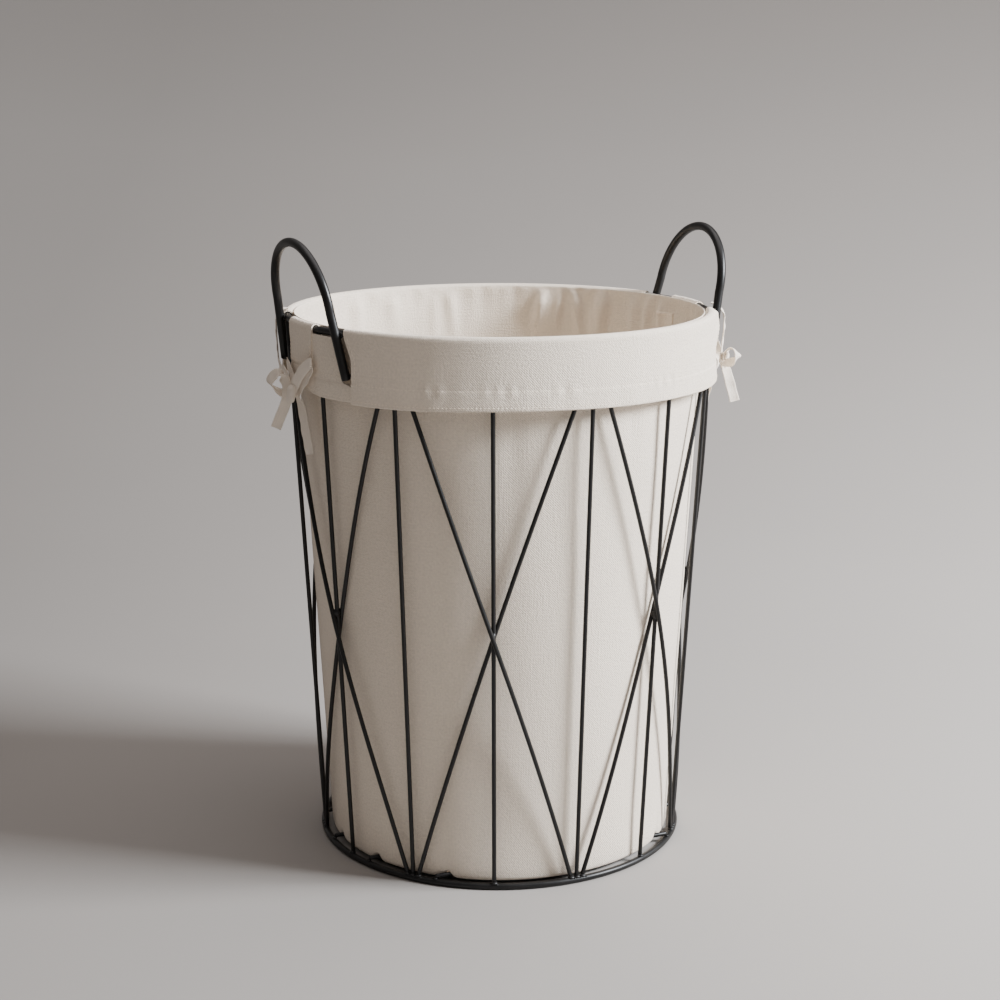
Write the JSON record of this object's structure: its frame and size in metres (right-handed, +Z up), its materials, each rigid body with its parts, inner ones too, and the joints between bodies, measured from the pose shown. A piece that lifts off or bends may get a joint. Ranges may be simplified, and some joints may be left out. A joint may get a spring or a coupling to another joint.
{
  "type": "laundry basket",
  "caption": "Tapered round laundry basket: a black wire cage with crossed wires and arched handles, lined with canvas folded over the rim and tied in bows.",
  "frame": {"origin": "on the floor, on the basket's axis", "axes": "+Z up along the basket's axis, -Y towards the front, +X towards the right handle"},
  "size_m": [0.4349, 0.403, 0.5767],
  "materials": {
    "wire_steel": "satin black powder coat",
    "handle_steel": "satin black powder coat",
    "canvas": "unbleached cotton canvas with a diagonal weave",
    "ribbon": "flat cotton tape",
    "patch_cloth": "plain woven cotton, blank"
  },
  "bodies": {
    "root": {"base_bar_1": "wire_steel", "base_bar_2": "wire_steel", "base_bar_3": "wire_steel", "base_bar_4": "wire_steel", "base_bar_5": "wire_steel", "base_ring_inner": "wire_steel", "base_ring_outer": "wire_steel", "crossed_wire_1a": "wire_steel", "crossed_wire_1b": "wire_steel", "crossed_wire_2a": "wire_steel", "crossed_wire_2b": "wire_steel", "crossed_wire_3a": "wire_steel", "crossed_wire_3b": "wire_steel", "crossed_wire_4a": "wire_steel", "crossed_wire_4b": "wire_steel", "crossed_wire_5a": "wire_steel", "crossed_wire_5b": "wire_steel", "crossed_wire_6a": "wire_steel", "crossed_wire_6b": "wire_steel", "crossed_wire_7a": "wire_steel", "crossed_wire_7b": "wire_steel", "cuff_back": "canvas", "cuff_front": "canvas", "cuff_tab_left": "canvas", "cuff_tab_right": "canvas", "handle_left": "handle_steel", "handle_right": "handle_steel", "liner_floor": "canvas", "liner_patch": "patch_cloth", "liner_wall": "canvas", "lower_hoop": "wire_steel", "rim_hoop": "wire_steel", "tab_strap_left": "canvas", "tab_strap_right": "canvas", "tie_left_inner": "ribbon", "tie_left_outer": "ribbon", "tie_right_inner": "ribbon", "tie_right_outer": "ribbon", "upright_wire_01": "wire_steel", "upright_wire_02": "wire_steel", "upright_wire_03": "wire_steel", "upright_wire_04": "wire_steel", "upright_wire_05": "wire_steel", "upright_wire_06": "wire_steel", "upright_wire_07": "wire_steel", "upright_wire_08": "wire_steel", "upright_wire_09": "wire_steel", "upright_wire_10": "wire_steel", "upright_wire_11": "wire_steel", "upright_wire_12": "wire_steel", "upright_wire_13": "wire_steel", "upright_wire_14": "wire_steel"}
  },
  "joints": []
}
